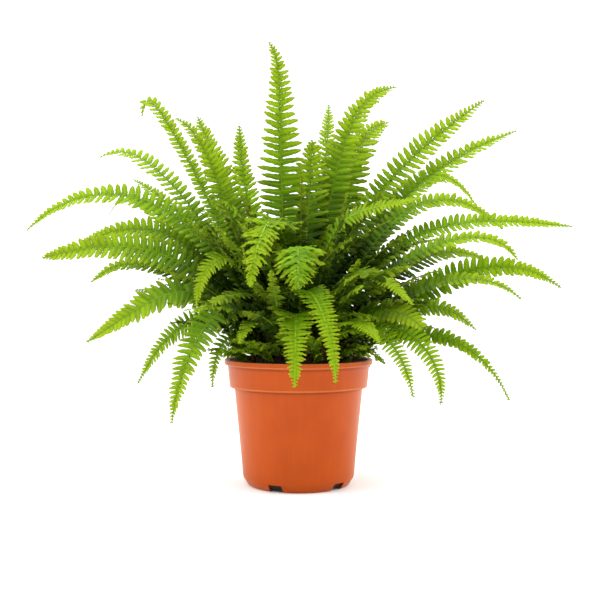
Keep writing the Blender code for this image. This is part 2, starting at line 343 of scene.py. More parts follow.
def potPlastic(top):
    paint = Finish("pottedTerracotta")
    cloudy = paint.noise(26 * mm, 3)
    streaks = paint.noise(5 * mm, 4, (1, 1, 0.06))
    grain = paint.noise(0.7 * mm, 2)
    scuffs = paint.smooth(paint.noise(9 * mm, 6, (1, 1, 0.5), 0.7), 0.6, 0.75)
    height = paint.node("SeparateXYZ", {}, {0: paint.place()}, 2)
    nearFoot = 1 - paint.smooth(height, 0, 22 * mm)
    # painted highlight along the edges of lip and band, painted shade in the corners beneath them
    edgeHighlight = 1 - paint.smooth(abs(height - top), 0.3 * mm, 0.9 * mm)
    ledgeShade = 0
    for edge in (pot["bandFootHeight"] + 0.5 * mm, top - pot["lipDepth"] + 0.3 * mm):
        edgeHighlight = edgeHighlight + 1 - paint.smooth(abs(height - edge), 0.3 * mm, 0.9 * mm)
        ledgeShade = ledgeShade + 1 - paint.smooth(abs(height - edge + 1.7 * mm), 0.5 * mm, 1.5 * mm)
    colour = paint.mix(paint.smooth(cloudy, 0.3, 0.7), pot["deep"], pot["orange"])
    colour = paint.mix(paint.smooth(streaks, 0.42, 0.72) * 0.14, colour, pot["pale"])
    colour = paint.mix(scuffs * (0.25 + nearFoot * 0.45), colour, pot["pale"])
    colour = paint.mix((grain - 0.5) * 0.22 + 0.08, colour, pot["deep"])
    colour = paint.mix(ledgeShade * 0.55, colour, pot["shadeUnderLedge"])
    colour = paint.mix(edgeHighlight * (0.35 + cloudy * 0.5), colour, pot["sheenHighlight"])
    # painted sheen: paler towards the outline, where the surface turns away from the view
    grazing = paint.node("LayerWeight", {}, {"Blend": 0.5}, "Facing")
    colour = paint.mix(grazing ** 3 * 0.75, colour, pot["sheenHighlight"])
    roughness = 0.36 + cloudy * 0.1 + scuffs * 0.18 + grain * 0.05
    relief = grain * 0.35 + streaks * 0.3
    return paint.show(paint.principled(
        Base_Color=colour, Roughness=roughness, Specular_IOR_Level=0.14,
        Normal=paint.bump(relief, 0.06 * mm)))


def makePot():
    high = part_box("pot")[1]
    body = toMesh("nurseryPot", lathe(potOutline(high.x, high.z), pot["steps"]))
    tools = []
    for index in range(pot["notchCount"]):
        length = high.x - pot["notchInner"]
        shape = bmesh.new()
        bmesh.ops.create_cube(shape, size=1)
        size = (length, pot["notchWidth"], pot["notchHeight"] * 2)
        bmesh.ops.scale(shape, vec=size, verts=shape.verts)
        lengthwise = [e for e in shape.edges if abs((e.verts[0].co - e.verts[1].co).x) > length / 2]
        bmesh.ops.bevel(shape, geom=lengthwise, offset=pot["notchRounding"], segments=4,
                        affect="EDGES", profile=0.5)
        bmesh.ops.translate(shape, vec=(pot["notchInner"] + length / 2, 0, 0), verts=shape.verts)
        angle = math.radians(pot["firstNotch"] + index * 360 / pot["notchCount"])
        bmesh.ops.rotate(shape, matrix=Matrix.Rotation(angle, 3, "Z"), verts=shape.verts)
        tools.append(toMesh("notch", shape))
    shape = bmesh.new()
    radius = pot["holeRadius"]
    bmesh.ops.create_cone(
        shape, cap_ends=True, segments=48, radius1=radius, radius2=radius, depth=pot["floorRaise"] * 4)
    tools.append(toMesh("drain", shape))
    mesh = cutOut(body, tools)
    mesh.name = "nurseryPot"
    mesh.shade_smooth()
    mesh.set_sharp_from_angle(angle=math.radians(35))
    mesh.materials.clear()
    mesh.materials.append(potPlastic(high.z))
    addPiece("nurseryPot", mesh, ["pot"])
    print("pot made,", len(mesh.polygons), "faces")


# The potting soil: a crumbly top inside the pot and loose crumbs on it.
soil = {
    "gap": 0.4 * mm,           # to the pot's wall
    "rings": 34,
    "steps": 144,
    "lumps": 1.7 * mm,
    "lumpSize": 7 * mm,
    "crumbs": 420,
    "crumbSize": (0.7 * mm, 2.4 * mm),
    "largeCrumb": 1.6 * mm,    # crumbs above this size are rounder
    "dark": (0.006, 0.004, 0.003),
    "brown": (0.034, 0.019, 0.011),
    "fibre": (0.105, 0.062, 0.034),
}


def soilPeat():
    paint = Finish("pottingSoil")
    coarse = paint.noise(5 * mm, 5, roughness=0.65)
    fine = paint.noise(0.9 * mm, 4, roughness=0.7)
    shreds = paint.smooth(paint.noise(2.2 * mm, 3, (1, 0.22, 1)), 0.62, 0.7)
    colour = paint.mix(paint.smooth(coarse * 0.6 + fine * 0.4, 0.35, 0.65), soil["dark"], soil["brown"])
    colour = paint.mix(shreds * 0.7, colour, soil["fibre"])
    return paint.show(paint.principled(
        Base_Color=colour, Roughness=0.85 + fine * 0.12, Specular_IOR_Level=0.25,
        Normal=paint.bump(coarse * 0.5 + fine, 0.8 * mm)))


def makeSoil():
    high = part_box("soil")[1]
    edge = high.x
    top = high.z
    gap = soil["gap"]
    inset = pot["wall"] + gap
    foot = pot["bodyFootRadius"] - inset
    raised = foot - pot["footRounding"] - pot["footRingWidth"]
    material = soilPeat()
    # the part down in the pot, up to just under the lumpy top
    outline = [Vector(corner) for corner in (
        (0, pot["floorRaise"] + inset),
        (raised, pot["floorRaise"] + inset),
        (raised + pot["floorSlope"], inset),
        (foot - pot["footRounding"] * 0.6, inset),
        (foot, pot["footRounding"]),
        (pot["bodyTopRadius"] - inset, pot["bandFootHeight"] - gap),
        (edge, pot["bandFootHeight"] + inset),
        (edge, top - 2 * mm),
    )]
    for ring in range(soil["rings"]):
        radius = edge * (1 - ((ring + 1) / soil["rings"]) ** 1.2)
        outline.append(Vector((max(radius, 0), top)))
    shape = lathe(outline, soil["steps"])
    for vertex in shape.verts:
        if vertex.co.z > top - 0.1 * mm:
            place = vertex.co / soil["lumpSize"]
            height = noise.fractal(place, 0.7, 2.1, 4) * soil["lumps"]
            nearWall = max(0, vertex.co.xy.length / edge - 0.9) * 10
            vertex.co.z = top + height - 1.2 * mm * nearWall
    mesh = toMesh("pottingSoil", shape)
    mesh.materials.append(material)
    addPiece("pottingSoil", mesh, ["soil"])

    dice = random.Random(11)
    crumbs = bmesh.new()
    least, most = soil["crumbSize"]
    for crumb in range(soil["crumbs"]):
        reach = edge * 0.97 * math.sqrt(dice.uniform(0.25, 1))
        angle = dice.uniform(0, math.tau)
        size = least + (most - least) * dice.random() ** 3
        detail = 2 if size > soil["largeCrumb"] else 1
        made = bmesh.ops.create_icosphere(crumbs, subdivisions=detail, radius=size / 2)
        spot = Vector((reach * math.cos(angle), reach * math.sin(angle), top))
        spot.z += noise.fractal(spot / soil["lumpSize"], 0.7, 2.1, 4) * soil["lumps"] + size * 0.15
        flat = Vector((dice.uniform(0.7, 1.5), dice.uniform(0.6, 1.1), dice.uniform(0.45, 0.9)))
        spin = Matrix.Rotation(dice.uniform(0, math.tau), 3, "Z")
        for vertex in made["verts"]:
            rough = 1 + 0.35 * noise.noise(vertex.co * 1500 + Vector((crumb, 0, 0)))
            vertex.co = spin @ Vector(a * b for a, b in zip(vertex.co * rough, flat)) + spot
    mesh = toMesh("soilCrumbs", crumbs)
    mesh.materials.append(material)
    addPiece("soilCrumbs", mesh)
    print("soil made")


# Leaflets. Each is a thin closed blade: three or five points across its top, one rib point below.
leaflet = {
    "spacing": 5.7 * mm,       # between neighbours on one side of the stalk, where they are longest
    "tipSpacing": 2.1 * mm,    # the same at the frond's tip
    "fill": 1.08,              # leaflet width as a share of that spacing
    "broadest": 0.72,          # and at most this share of its length
    "offset": 0.1 * mm,        # of a leaflet's foot from the middle of the stalk
    "thickness": 0.28 * mm,
    "groove": 0.07,            # how far the halves bulge beside the rib, as a share of the width
    "cup": 0.10,               # how far the margins bend down
    "crisp": 0.05,             # how far they ripple
    "curve": 0.09,             # how far a leaflet curves towards the frond's tip
    "sag": 0.10,               # how far its end hangs
    "tilt": 8,                 # how far each leaflet's face turns towards the frond's tip
    "louvre": 12,              # and how much more on upright fronds
    "fold": 10,                # rise of the two rows from the stalk
    "bareStalk": 0.11,         # share of the frond below its first leaflet
    "shortest": 2.2 * mm,
    "short": 5.5 * mm,         # those under this length have fewer points
    "usual": 18 * mm,          # length of the longest ones on a frond of usual width
    "lean": (86, 24),          # angle to the stalk, and how much it closes towards the frond's tip
    "shadeCentre": (8 * mm, 15 * mm, 150 * mm),
    "shadeReach": 155 * mm,    # leaflets nearer to that centre get painted shade, darker the nearer they are
    "longRows": 9,             # rows of points along a leaflet
    "fringeRows": 8,
    "shortRows": 5,
    "tinyRows": 3,
}


# half-widths of a leaflet at a share of its length: towards the frond's tip and towards its foot
def leafletOutline(share, pointed):
    base = min(1, 0.93 + share * 2)
    end = 1 if share < 0.5 else (1 - ((share - 0.5) / 0.5) ** 2.6) ** 0.6
    ear = 0.42 * math.exp(-((share - 0.04) / 0.07) ** 2)
    ahead = base * end * (1 - (0.22 + pointed) * share) + ear
    return ahead, base * end * (1 - (0.34 + pointed) * share) + ear * 0.4


# points as (share of the length, step across, half-width, 1 on the upper face to 0 on the rib below)
def leafletTemplate(rows, across, pointed=0, teeth=0.035):
    points = []
    faces = []
    for row in range(rows):
        share = (row / rows) ** 0.9
        ahead, behind = leafletOutline(share, pointed)
        tooth = 1 + teeth * (-1) ** row
        for step in across:
            side = ahead if step > 0 else behind
            rim = abs(step) == 1
            points.append((share, step, side * (tooth if rim else 1), 0.5 if rim else 1))
        points.append((share, 0, 1, 0))
    points.append((1, 0, 0, 0.5))
    around = len(across) + 1
    for row in range(rows - 1):
        for step in range(around):
            a, b = row * around + step, row * around + (step + 1) % around
            faces.append((a, b, b + around, a + around))
    last = (rows - 1) * around
    for step in range(around):
        faces.append((last + step, last + (step + 1) % around, last + around))
    faces.append(tuple(range(around))[::-1])
    return np.array(points), faces


fiveAcross = (-1, -0.5, 0, 0.5, 1)
threeAcross = (-1, 0, 1)
longLeaflet = leafletTemplate(leaflet["longRows"], fiveAcross)
fringeLeaflet = leafletTemplate(leaflet["fringeRows"], fiveAcross, pointed=0.4, teeth=0.09)
wedgeLeaflet = leafletTemplate(leaflet["longRows"], fiveAcross, pointed=0.17, teeth=0.05)
shortLeaflet = leafletTemplate(leaflet["shortRows"], threeAcross)
tinyLeaflet = leafletTemplate(leaflet["tinyRows"], threeAcross)


def unit(rows):
    return rows / np.maximum(np.linalg.norm(rows, axis=-1, keepdims=True), 1e-12)


# Collects vertices, faces, stored vectors and material numbers of one growing piece.
class Growth:
    def __init__(self):
        self.points = []
        self.faces = []
        self.leafMap = []
        self.frondMap = []
        self.finishes = []
        self.count = 0

    def add(self, points, faces, leafMap, frondMap, finish):
        self.points.append(points)
        self.faces += [tuple(corner + self.count for corner in face) for face in faces]
        self.leafMap.append(leafMap)
        self.frondMap.append(frondMap)
        self.finishes += [finish] * len(faces)
        self.count += len(points)

    def mesh(self, name, materials):
        made = bpy.data.meshes.new(name)
        made.from_pydata(np.concatenate(self.points).tolist(), [], self.faces)
        for material in materials:
            made.materials.append(material)
        made.polygons.foreach_set("material_index", self.finishes)
        for key, rows in (("leafMap", self.leafMap), ("frondMap", self.frondMap)):
            layer = made.attributes.new(key, "FLOAT_VECTOR", "POINT")
            layer.data.foreach_set("vector", np.concatenate(rows).astype(np.float32).ravel())
        made.shade_smooth()
        made.set_sharp_from_angle(angle=math.radians(75))
        made.update()
        return made


# The course of one frond: its curve and its face, sampled along its length.
class Course:
    def __init__(self, controls, tops, spread, count=241):
        share = np.linspace(0, 1, count)[:, None]
        rest = 1 - share
        root, first, second, end = controls
        self.points = rest ** 3 * root + 3 * rest ** 2 * share * first
        self.points = self.points + 3 * rest * share ** 2 * second + share ** 3 * end
        speed = (first - root) * rest ** 2 + 2 * (second - first) * rest * share
        self.along = unit(speed + (end - second) * share ** 2)
        steps = np.linalg.norm(np.diff(self.points, axis=0), axis=1)
        self.lengths = np.concatenate([[0], np.cumsum(steps)])
        self.length = self.lengths[-1]
        knots = np.linspace(0, 1, len(tops)) * (len(tops) - 1) / len(tops)
        face = np.stack([np.interp(share[:, 0], knots, tops[:, axis]) for axis in range(3)], axis=1)
        face = face - self.along * np.sum(face * self.along, axis=1, keepdims=True)
        self.top = unit(face)
        self.right = np.cross(self.along, self.top)
        self.spread = spread

    def at(self, where):
        row = np.interp(where, self.lengths, np.arange(len(self.lengths)))
        low = np.minimum(row.astype(int), len(self.lengths) - 2)
        part = (row - low)[:, None]
        point, *axes = (
            rows[low] * (1 - part) + rows[low + 1] * part
            for rows in (self.points, self.along, self.top, self.right)
        )
        return point, *map(unit, axes), where / self.length


# length of the leaflets along a frond, as a share of the longest
def bladeOutline(share, taper=0.38, power=0.55):
    leafy = np.clip((share - leaflet["bareStalk"]) / (1 - leaflet["bareStalk"]), 0, 1)
    swell = 0.4 + 0.6 * np.sin(math.pi / 2 * np.minimum(1, leafy / 0.3))
    return swell * np.minimum(1, (1 - leafy) / taper) ** power


# distance from one leaflet to the next on a side, where they have this share of the longest's length
def leafletStep(size, spacing):
    return leaflet["tipSpacing"] + (spacing - leaflet["tipSpacing"]) * np.minimum(1, size * 1.25)


# the section of a frond's solid
blade = {
    "merge": 0.02 * mm,
    "stalkHeight": 0.9 * mm,   # of the stalk's middle above the keel, at the frond's foot
    "widthShare": 0.85,        # of the leaflets' spread that the solid takes up
}


# reads a frond's course back from its solid: rings of four corners and a tip
def courseOf(name):
    shape = bmesh.new()
    shape.from_mesh(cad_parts[name].data)
    bmesh.ops.remove_doubles(shape, verts=shape.verts, dist=blade["merge"])
    layers = []
    for tip in shape.verts:
        layers, seen = [[tip]], {tip}
        while layers[-1]:
            ahead = {edge.other_vert(v) for v in layers[-1] for edge in v.link_edges} - seen
            seen |= ahead
            layers.append(list(ahead))
        if [len(layer) for layer in layers[1:-1]] == [4] * (len(shape.verts) // 4):
            break
    centres, tops, widths = [], [], []
    rings = len(layers) - 2
    for index, layer in enumerate(layers[rings:0:-1]):
        corners = sorted((v.co.copy() for v in layer), key=lambda c: tuple(c))
        pairs = [(a, b) for i, a in enumerate(corners) for b in corners[i + 1:]]
        right, left = max(pairs, key=lambda pair: (pair[0] - pair[1]).length)
        middle = (right + left) / 2
        inner = [c for c in corners if c not in (right, left)]
        ridge, keel = sorted(inner, key=lambda c: (c - middle).length)
        top = (ridge - keel).normalized()
        centres.append(keel + top * blade["stalkHeight"] * (1 - 0.5 * index / rings))
        tops.append(top)
        widths.append((right - left).length)
    centres.append(layers[0][0].co.copy())
    shape.free()
    share = np.arange(1, rings)[:, None] / rings
    rest = 1 - share
    points = np.array(centres)
    known = points[1:rings] - rest ** 3 * points[0] - share ** 3 * points[-1]
    weights = np.hstack([3 * rest ** 2 * share, 3 * rest * share ** 2])
    handles = np.linalg.lstsq(weights, known, rcond=None)[0]
    spread = max(widths) / blade["widthShare"]
    return Course((points[0], handles[0], handles[1], points[-1]), np.array(tops), spread)


# one row of leaflets per side of the stalk; a habit holds what sets a single frond apart
def growLeaflets(growth, course, dice, habit):
    longest = course.spread / 2 * habit.get("wide", 1)
    taper = (habit.get("taper", 0.38), habit.get("power", 0.55))
    spacing = leaflet["spacing"] * (0.62 + 0.38 * longest / leaflet["usual"]) * habit.get("crowd", 1)
    wheres, sides = [], []
    for side in (-1, 1):
        where = course.length * leaflet["bareStalk"] + spacing * (0.25 if side > 0 else 0.75)
        while where < course.length * 0.995:
            wheres.append(where)
            sides.append(side)
            step = leafletStep(bladeOutline(where / course.length, *taper), spacing)
            where += step * dice.uniform(0.93, 1.07)
    wheres, sides = np.array(wheres), np.array(sides)
    # eight random values for each leaflet
    rolls = np.array([[dice.uniform(-1, 1) for _ in range(8)] for _ in wheres])
    wild = habit.get("wild", 1)
    point, along, top, right, share = course.at(wheres)
    size = bladeOutline(share, *taper)
    length = np.maximum(longest * size * (1 + 0.07 * wild * rolls[:, 0]), leaflet["shortest"])
    width = leafletStep(size, spacing) * habit.get("fill", leaflet["fill"])
    width = np.minimum(width * (1.2 - 0.2 * size + 0.06 * rolls[:, 1]), length * leaflet["broadest"])
    # the angle to the stalk closes towards the tip
    usual, close = leaflet["lean"]
    closed = habit.get("close", close) * np.clip((share - 0.4) / 0.6, 0, 1) ** 1.5
    lean = np.radians(habit.get("lean", usual) - closed + 4 * wild * rolls[:, 2])[:, None]
    fold = np.radians(habit.get("fold", leaflet["fold"]) + 5 * wild * rolls[:, 3])[:, None]
    outward = right * sides[:, None]
    sideways = outward * np.cos(fold) + top * np.sin(fold)
    out = unit(sideways * np.sin(lean) + along * np.cos(lean))
    face = unit(top - out * np.sum(top * out, axis=1, keepdims=True))
    forward = np.cross(face, out) * sides[:, None]
    louvre = habit.get("louvre", leaflet["louvre"]) * along[:, 2:3]
    turn = np.radians(leaflet["tilt"] + louvre + 7 * wild * rolls[:, 4:5])
    normal = face * np.cos(turn) + forward * np.sin(turn)
    ahead = forward * np.cos(turn) - face * np.sin(turn)
    droop = (leaflet["sag"] + habit.get("droop", 0) + 0.05 * wild * rolls[:, 5])[:, None]
    crisp = habit.get("crisp", leaflet["crisp"])
    burn = habit.get("burn", 0) * np.clip((share - 0.6) / 0.3, 0, 1) * (0.6 + 0.4 * rolls[:, 6])
    # painted shade: the nearer a leaflet is to the shade centre, the lower its tone, which the leaflet
    # finish turns dark
    fromCentre = np.linalg.norm(point - np.array(leaflet["shadeCentre"]), axis=1)
    inside = 1 - fromCentre / leaflet["shadeReach"]
    toneAndShade = 0.5 + 0.3 * rolls[:, 7] + 0.5 * (dice.uniform(0, 1) - 0.5) + habit.get("toneAndShade", 0)
    toneAndShade = toneAndShade - 2.2 * np.clip(inside, 0, 1) + habit.get("brighten", 0) * (share - 0.5)
    start = point + outward * leaflet["offset"]
    for template, chosen in (
        (habit.get("template", longLeaflet), length >= leaflet["short"]),
        (habit.get("small", shortLeaflet), length < leaflet["short"]),
    ):
        rows, faces = template
        picks = np.flatnonzero(chosen)
        if not len(picks):
            continue
        # every leaflet at once: leaflets by points by axes
        part, step, half, cover = (rows[:, column][None, :, None] for column in range(4))
        long = length[picks][:, None, None]
        broad = width[picks][:, None, None]
        phase = rolls[picks, 6][:, None, None] * math.pi
        reach = out[picks][:, None, :] * long * part
        curve = long * leaflet["curve"] * part ** 2
        over = ahead[picks][:, None, :] * (broad * 0.5 * step * half + curve)
        bulge = leaflet["groove"] * 4 * abs(step) * (1 - abs(step)) - leaflet["cup"] * step ** 2
        wave = crisp * np.sin(part * 17 + step * 2.4 + phase) * abs(step) ** 1.4
        rib = np.where(cover == 0, -leaflet["thickness"], 0)
        rise = normal[picks][:, None, :] * (broad * (bulge + wave) + rib * (1 - 0.6 * part))
        hang = np.array(up) * (-droop[picks][:, None, :] * long * 0.5 * part ** 2)
        points = start[picks][:, None, :] + reach + over + rise + hang
        allFaces = []
        for index, pick in enumerate(picks):
            for corners in faces:
                ring = [corner + index * len(rows) for corner in corners]
                allFaces.append(ring[::-1] if sides[pick] < 0 else ring)
        ones = np.ones((len(picks), len(rows)))
        leafMap = np.stack([rows[:, column] * ones for column in (0, 1, 3)], axis=-1)
        stored = (habit.get("youth", 1) * share, burn, toneAndShade)
        frondMap = np.stack([values[picks][:, None] * ones for values in stored], axis=-1)
        growth.add(points.reshape(-1, 3), allFaces, leafMap.reshape(-1, 3), frondMap.reshape(-1, 3), 0)


stalk = {
    "footWidth": 2.0 * mm,
    "tipWidth": 0.75 * mm,
    "flatness": 1.35,          # how much wider than high it is
    "groove": 0.45,            # height of the groove's bottom as a share of the rest
    "footSwell": 6 * mm,       # it thickens over this length at its foot
    "ringEvery": 5 * mm,
    "corners": 7,
    "dark": (0.034, 0.060, 0.003),
    "green": (0.110, 0.180, 0.004),
    "brown": (0.060, 0.026, 0.010),
}


# the stalk: a thin rod, grooved above, that narrows to the tip
def growStalk(growth, course, thick=1.0, pale=0.0):
    rings = max(10, int(course.length / stalk["ringEvery"]))
    corners = stalk["corners"]
    where = np.linspace(0, course.length * 0.998, rings)
    point, along, top, right, share = course.at(where)
    angles = np.arange(corners) / corners * math.tau + math.pi / 2
    grooved = np.where(np.arange(corners) == 0, stalk["groove"], 1.0)
    width = (stalk["footWidth"] + (stalk["tipWidth"] - stalk["footWidth"]) * share ** 0.65) / 2 * thick
    width = width * (1 + 0.5 * np.exp(-(where / stalk["footSwell"]) ** 2))
    wide = right[:, None, :] * np.cos(angles)[None, :, None] * stalk["flatness"]
    high = top[:, None, :] * np.sin(angles)[None, :, None]
    ring = width[:, None, None] * grooved[None, :, None] * (wide + high)
    points = (point[:, None, :] + ring).reshape(-1, 3)
    faces = []
    for row in range(rings - 1):
        for step in range(corners):
            a, b = row * corners + step, row * corners + (step + 1) % corners
            faces.append((b, a, a + corners, b + corners))
    faces.append(tuple(range(corners)))
    faces.append(tuple(range((rings - 1) * corners, rings * corners))[::-1])
    shares = np.repeat(share, corners)
    blank = np.zeros(len(points))
    leafMap = np.stack([blank + pale, blank, blank], axis=-1)
    frondMap = np.stack([shares, blank, np.repeat(where, corners)], axis=-1)
    growth.add(points, faces, leafMap, frondMap, 1)


green = {
    "shade": (0.007, 0.022, 0.0003),
    "deep": (0.068, 0.166, 0.0004),
    "fresh": (0.220, 0.396, 0.0003),
    "lime": (0.470, 0.540, 0.024),
    "under": (0.200, 0.300, 0.008),
    "glow": (0.316, 0.505, 0.0020),    # colour of the light that comes through
    "burnt": (0.480, 0.190, 0.025),
    "through": 0.44,                   # share of light that passes through a face
}


def leafletGreen():
    paint = Finish("leafletGreen")
    along, across, cover = paint.stored("leafMap")
    frondAlong, burn, toneAndShade = paint.stored("frondMap")
    mottle = paint.noise(2.6 * mm, 3)
    patches = paint.noise(24 * mm, 2)
    side = abs(across)
    young = paint.smooth(frondAlong, 0.45, 1)
    fresh = toneAndShade * 0.75 + (patches - 0.5) * 0.8 + (mottle - 0.5) * 0.35 + young * 0.3
    freshness = paint.smooth(fresh, 0, 1)
    colour = paint.mix(freshness, green["deep"], green["fresh"])
    pale = young * 0.5 + paint.smooth(along, 0.45, 1.0) * 0.35
    colour = paint.mix(pale, colour, green["lime"])
    foot = 1 - paint.smooth(along, 0, 0.4)
    colour = paint.mix(foot * 0.5, colour, green["deep"])
    veins = paint.maths("SINE", (along * 13 - side * 1.6) * math.tau) * 0.5 + 0.5
    colour = paint.mix(veins * 0.14 * paint.smooth(side, 0.08, 0.3), colour, green["deep"])
    # painted shade: darker along the side margins, where neighbouring leaflets meet
    marginShade = paint.smooth(side, 0.66, 1.0) * paint.smooth(1 - along, 0.05, 0.3)
    colour = paint.mix(marginShade * 0.5, colour, green["deep"])
    rib = 1 - paint.smooth(side, 0.03, 0.14)
    colour = paint.mix(rib * 0.35, colour, green["lime"])
    colour = paint.mix((1 - cover) * 0.5, colour, green["under"])
    shaded = paint.smooth(0 - toneAndShade, -0.3, 1.1) * 0.95
    colour = paint.mix(shaded, colour, green["shade"])
    scorch = paint.smooth(along + (mottle - 0.5) * 0.4 + side * 0.1, 0.78, 1.05) * burn
    colour = paint.mix(scorch, colour, green["burnt"])
    relief = paint.bump(veins * 0.35 + mottle * 0.5 - rib * 0.6, 0.12 * mm)
    shell = paint.principled(
        Base_Color=colour, Roughness=0.44 + mottle * 0.16 + (1 - cover) * 0.12,
        Specular_IOR_Level=0.06, Normal=relief)
    # young tissue lets more light through, shaded and scorched tissue less
    thin = (0.84 + pale * 0.3 + freshness * 0.08) * (1 - shaded) * (1 - scorch * 0.8)
    through = paint.node("BsdfTranslucent", {}, {"Color": (*green["glow"], 1), "Normal": relief})
    return paint.show(paint.node("MixShader", {}, {0: thin * green["through"], 1: shell, 2: through}))


def stalkGreen():
    paint = Finish("frondStalk")
    pale = paint.stored("leafMap")[0]
    frondAlong, _, where = paint.stored("frondMap")
    fine = paint.noise(1.1 * mm, 4, (1, 1, 0.4))
    colour = paint.mix(paint.smooth(frondAlong + fine * 0.2, 0.15, 0.75), stalk["dark"], stalk["green"])
    colour = paint.mix(pale * paint.smooth(frondAlong, 0.1, 0.5), colour, green["fresh"])
    scales = paint.smooth(fine + (1 - paint.smooth(where, 5 * mm, 45 * mm)) * 0.35, 0.6, 0.75)
    colour = paint.mix(scales * 0.8, colour, stalk["brown"])
    return paint.show(paint.principled(
        Base_Color=colour, Roughness=0.5 + fine * 0.25, Specular_IOR_Level=0.12,
        Normal=paint.bump(fine + scales * 0.6, 0.15 * mm)))


# Habits: what sets a frond apart from a plain one.
# Leaflets: their template, spacing (crowd) and width (fill), how they are held (lean, close, fold, droop,
# louvre) and how uneven they are (crisp, wild). Outline: wide, and taper and power, which narrow it to
# its tip. Colour: tone with painted shade, brighten towards the tip, youth, burn for scorched ends, and
# paleStalk.
fringed = {
    "template": fringeLeaflet, "crowd": 0.68, "fill": 1.15, "lean": 82, "close": 12, "fold": 8, "droop": 0.2,
    "crisp": 0.12, "wild": 1.6, "taper": 0.6, "power": 0.7, "toneAndShade": 0.1, "brighten": 0.9, "paleStalk": 0.7,
}
hanging = {
    **fringed, "crowd": 0.66, "lean": 88, "close": 4, "fold": 16, "droop": 0.08,
    "wide": 1.2, "taper": 0.66, "toneAndShade": 0.12, "brighten": 1.3,
}
narrow = {
    "template": wedgeLeaflet, "crowd": 0.8, "fill": 0.9, "lean": 88, "close": 10, "droop": 0.1,
    "taper": 0.55, "power": 0.75,
}
upright = {
    "template": wedgeLeaflet, "fill": 1.06, "louvre": 3, "droop": 0.06, "crisp": 0.07, "wild": 1.5,
}
slender = {"template": wedgeLeaflet, "fill": 1.15, "power": 0.62}
youngFrond = {
    "template": tinyLeaflet, "small": tinyLeaflet, "crowd": 0.8, "fill": 1.05, "lean": 76, "fold": 16,
    "droop": 0.1, "crisp": 0.16, "wild": 4,
}

# by the number in the frond's name; the others are plain
frondHabits = {
    1: {**upright, "crowd": 1.06, "fill": 1.02, "wide": 1.12, "taper": 0.5, "power": 0.65},
    2: {"wide": 0.66, "taper": 0.1},
    3: {**upright, "wide": 0.85},
    4: {**upright, "fill": 1.18},
    5: {**upright, "fill": 1.14, "wide": 1.1},
    6: {**upright, "crisp": 0.14, "wild": 2.2, "wide": 1.15, "toneAndShade": 0.1, "youth": 0.85},
    7: {**upright, "fill": 1.28},
    8: {**upright, "wide": 0.9},
    9: {**upright, "fill": 1.28, "wide": 1.1},
    10: {**slender, "crowd": 1.2, "wide": 1.12, "taper": 0.32},
    11: {**slender, "crowd": 1.15, "wide": 1.1, "taper": 0.3},
    17: {"taper": 0.45, "power": 0.72},
    18: {"wide": 0.92, "taper": 0.4, "power": 0.65, "toneAndShade": -0.25},
    19: {"wide": 0.98, "taper": 0.45, "power": 0.65, "toneAndShade": 0.15},
    20: {"wild": 1.5, "wide": 0.95, "taper": 0.75, "power": 0.8, "toneAndShade": 0.3},
    21: {**narrow, "wide": 1.06, "toneAndShade": 0.5},
    22: {**narrow, "crowd": 0.75, "wide": 1, "toneAndShade": 0.45},
    # painted light: frond 23's high tone and youth make it look lit from behind
    23: {"crowd": 0.7, "fill": 1.2, "crisp": 0.15, "wild": 2, "wide": 1.15, "toneAndShade": 1.5, "youth": 1.5},
    24: {"crowd": 0.85, "crisp": 0.1, "toneAndShade": 0.35},
    25: {**hanging, "burn": 1},
    26: {**hanging, "wide": 1.1, "burn": 0.9},
    27: {**fringed, "lean": 70, "crisp": 0.24, "wild": 3.2, "wide": 1.5, "taper": 0.5, "toneAndShade": 0.3},
    28: {**fringed, "lean": 70, "fold": 2, "droop": 0.4, "crisp": 0.26, "wild": 3.4, "wide": 1.2,
         "taper": 0.2, "toneAndShade": 0.15, "brighten": -0.5, "youth": 0.55, "burn": 0.3, "paleStalk": 0.05},
    29: {**fringed, "toneAndShade": 0.3},
    31: {**narrow, "crowd": 0.88, "fill": 1.02, "wide": 0.95, "toneAndShade": 0.25},
    32: {**fringed, "wide": 1.15, "toneAndShade": 0.25},
    36: {**narrow, "fill": 1, "wide": 1.05, "toneAndShade": 0.5},
    37: {**narrow, "wide": 1.2, "toneAndShade": 0.55},
    38: {"crowd": 0.88, "fill": 1.1, "lean": 80, "wide": 1.18, "taper": 0.56, "power": 0.72, "toneAndShade": -0.08},
    42: {"crowd": 1.14, "fill": 0.98, "taper": 0.42, "power": 0.6},
    43: {"crowd": 1.3, "fill": 1, "wide": 1.1, "taper": 0.25},
    **dict.fromkeys((30, 33, 34, 35), fringed),
}


def makeFronds(materials):
    names = sorted(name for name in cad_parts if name.startswith("frond_"))
    total = 0
    for index, name in enumerate(names, 1):
        course = courseOf(name)
        dice = random.Random(100 + index)
        growth = Growth()
        habit = frondHabits.get(index, {})
        growStalk(growth, course, pale=habit.get("paleStalk", 0))
        growLeaflets(growth, course, dice, habit)
        mesh = growth.mesh("fern_" + name, materials)
        addPiece("fern_" + name, mesh, [name])
        total += sum(len(polygon.vertices) - 2 for polygon in mesh.polygons)
    print("fronds made,", len(names), "with", total, "triangles")


# The crown: a mound of stalk feet and fibre, and the young fronds that fill the middle.
crown = {
    "rings": 30,
    "steps": 120,
    "lumps": 2.6 * mm,
    "lumpSize": 6 * mm,
    "stubs": 150,
    "stubRadius": (0.7 * mm, 1.5 * mm),
    "stubLength": (5 * mm, 15 * mm),
    "stubTilt": (0.1, 0.9),
    "stubTaper": (0.5, 0.9),
    "turn": 2.39996,           # radians from one young frond to the next
    "pieces": 4,               # the young fronds are shared out between these
    "samples": 81,             # along the course of a young frond
    "fibre": (0.036, 0.022, 0.010),
    "moss": (0.030, 0.050, 0.008),
    "dark": (0.007, 0.006, 0.003),
}

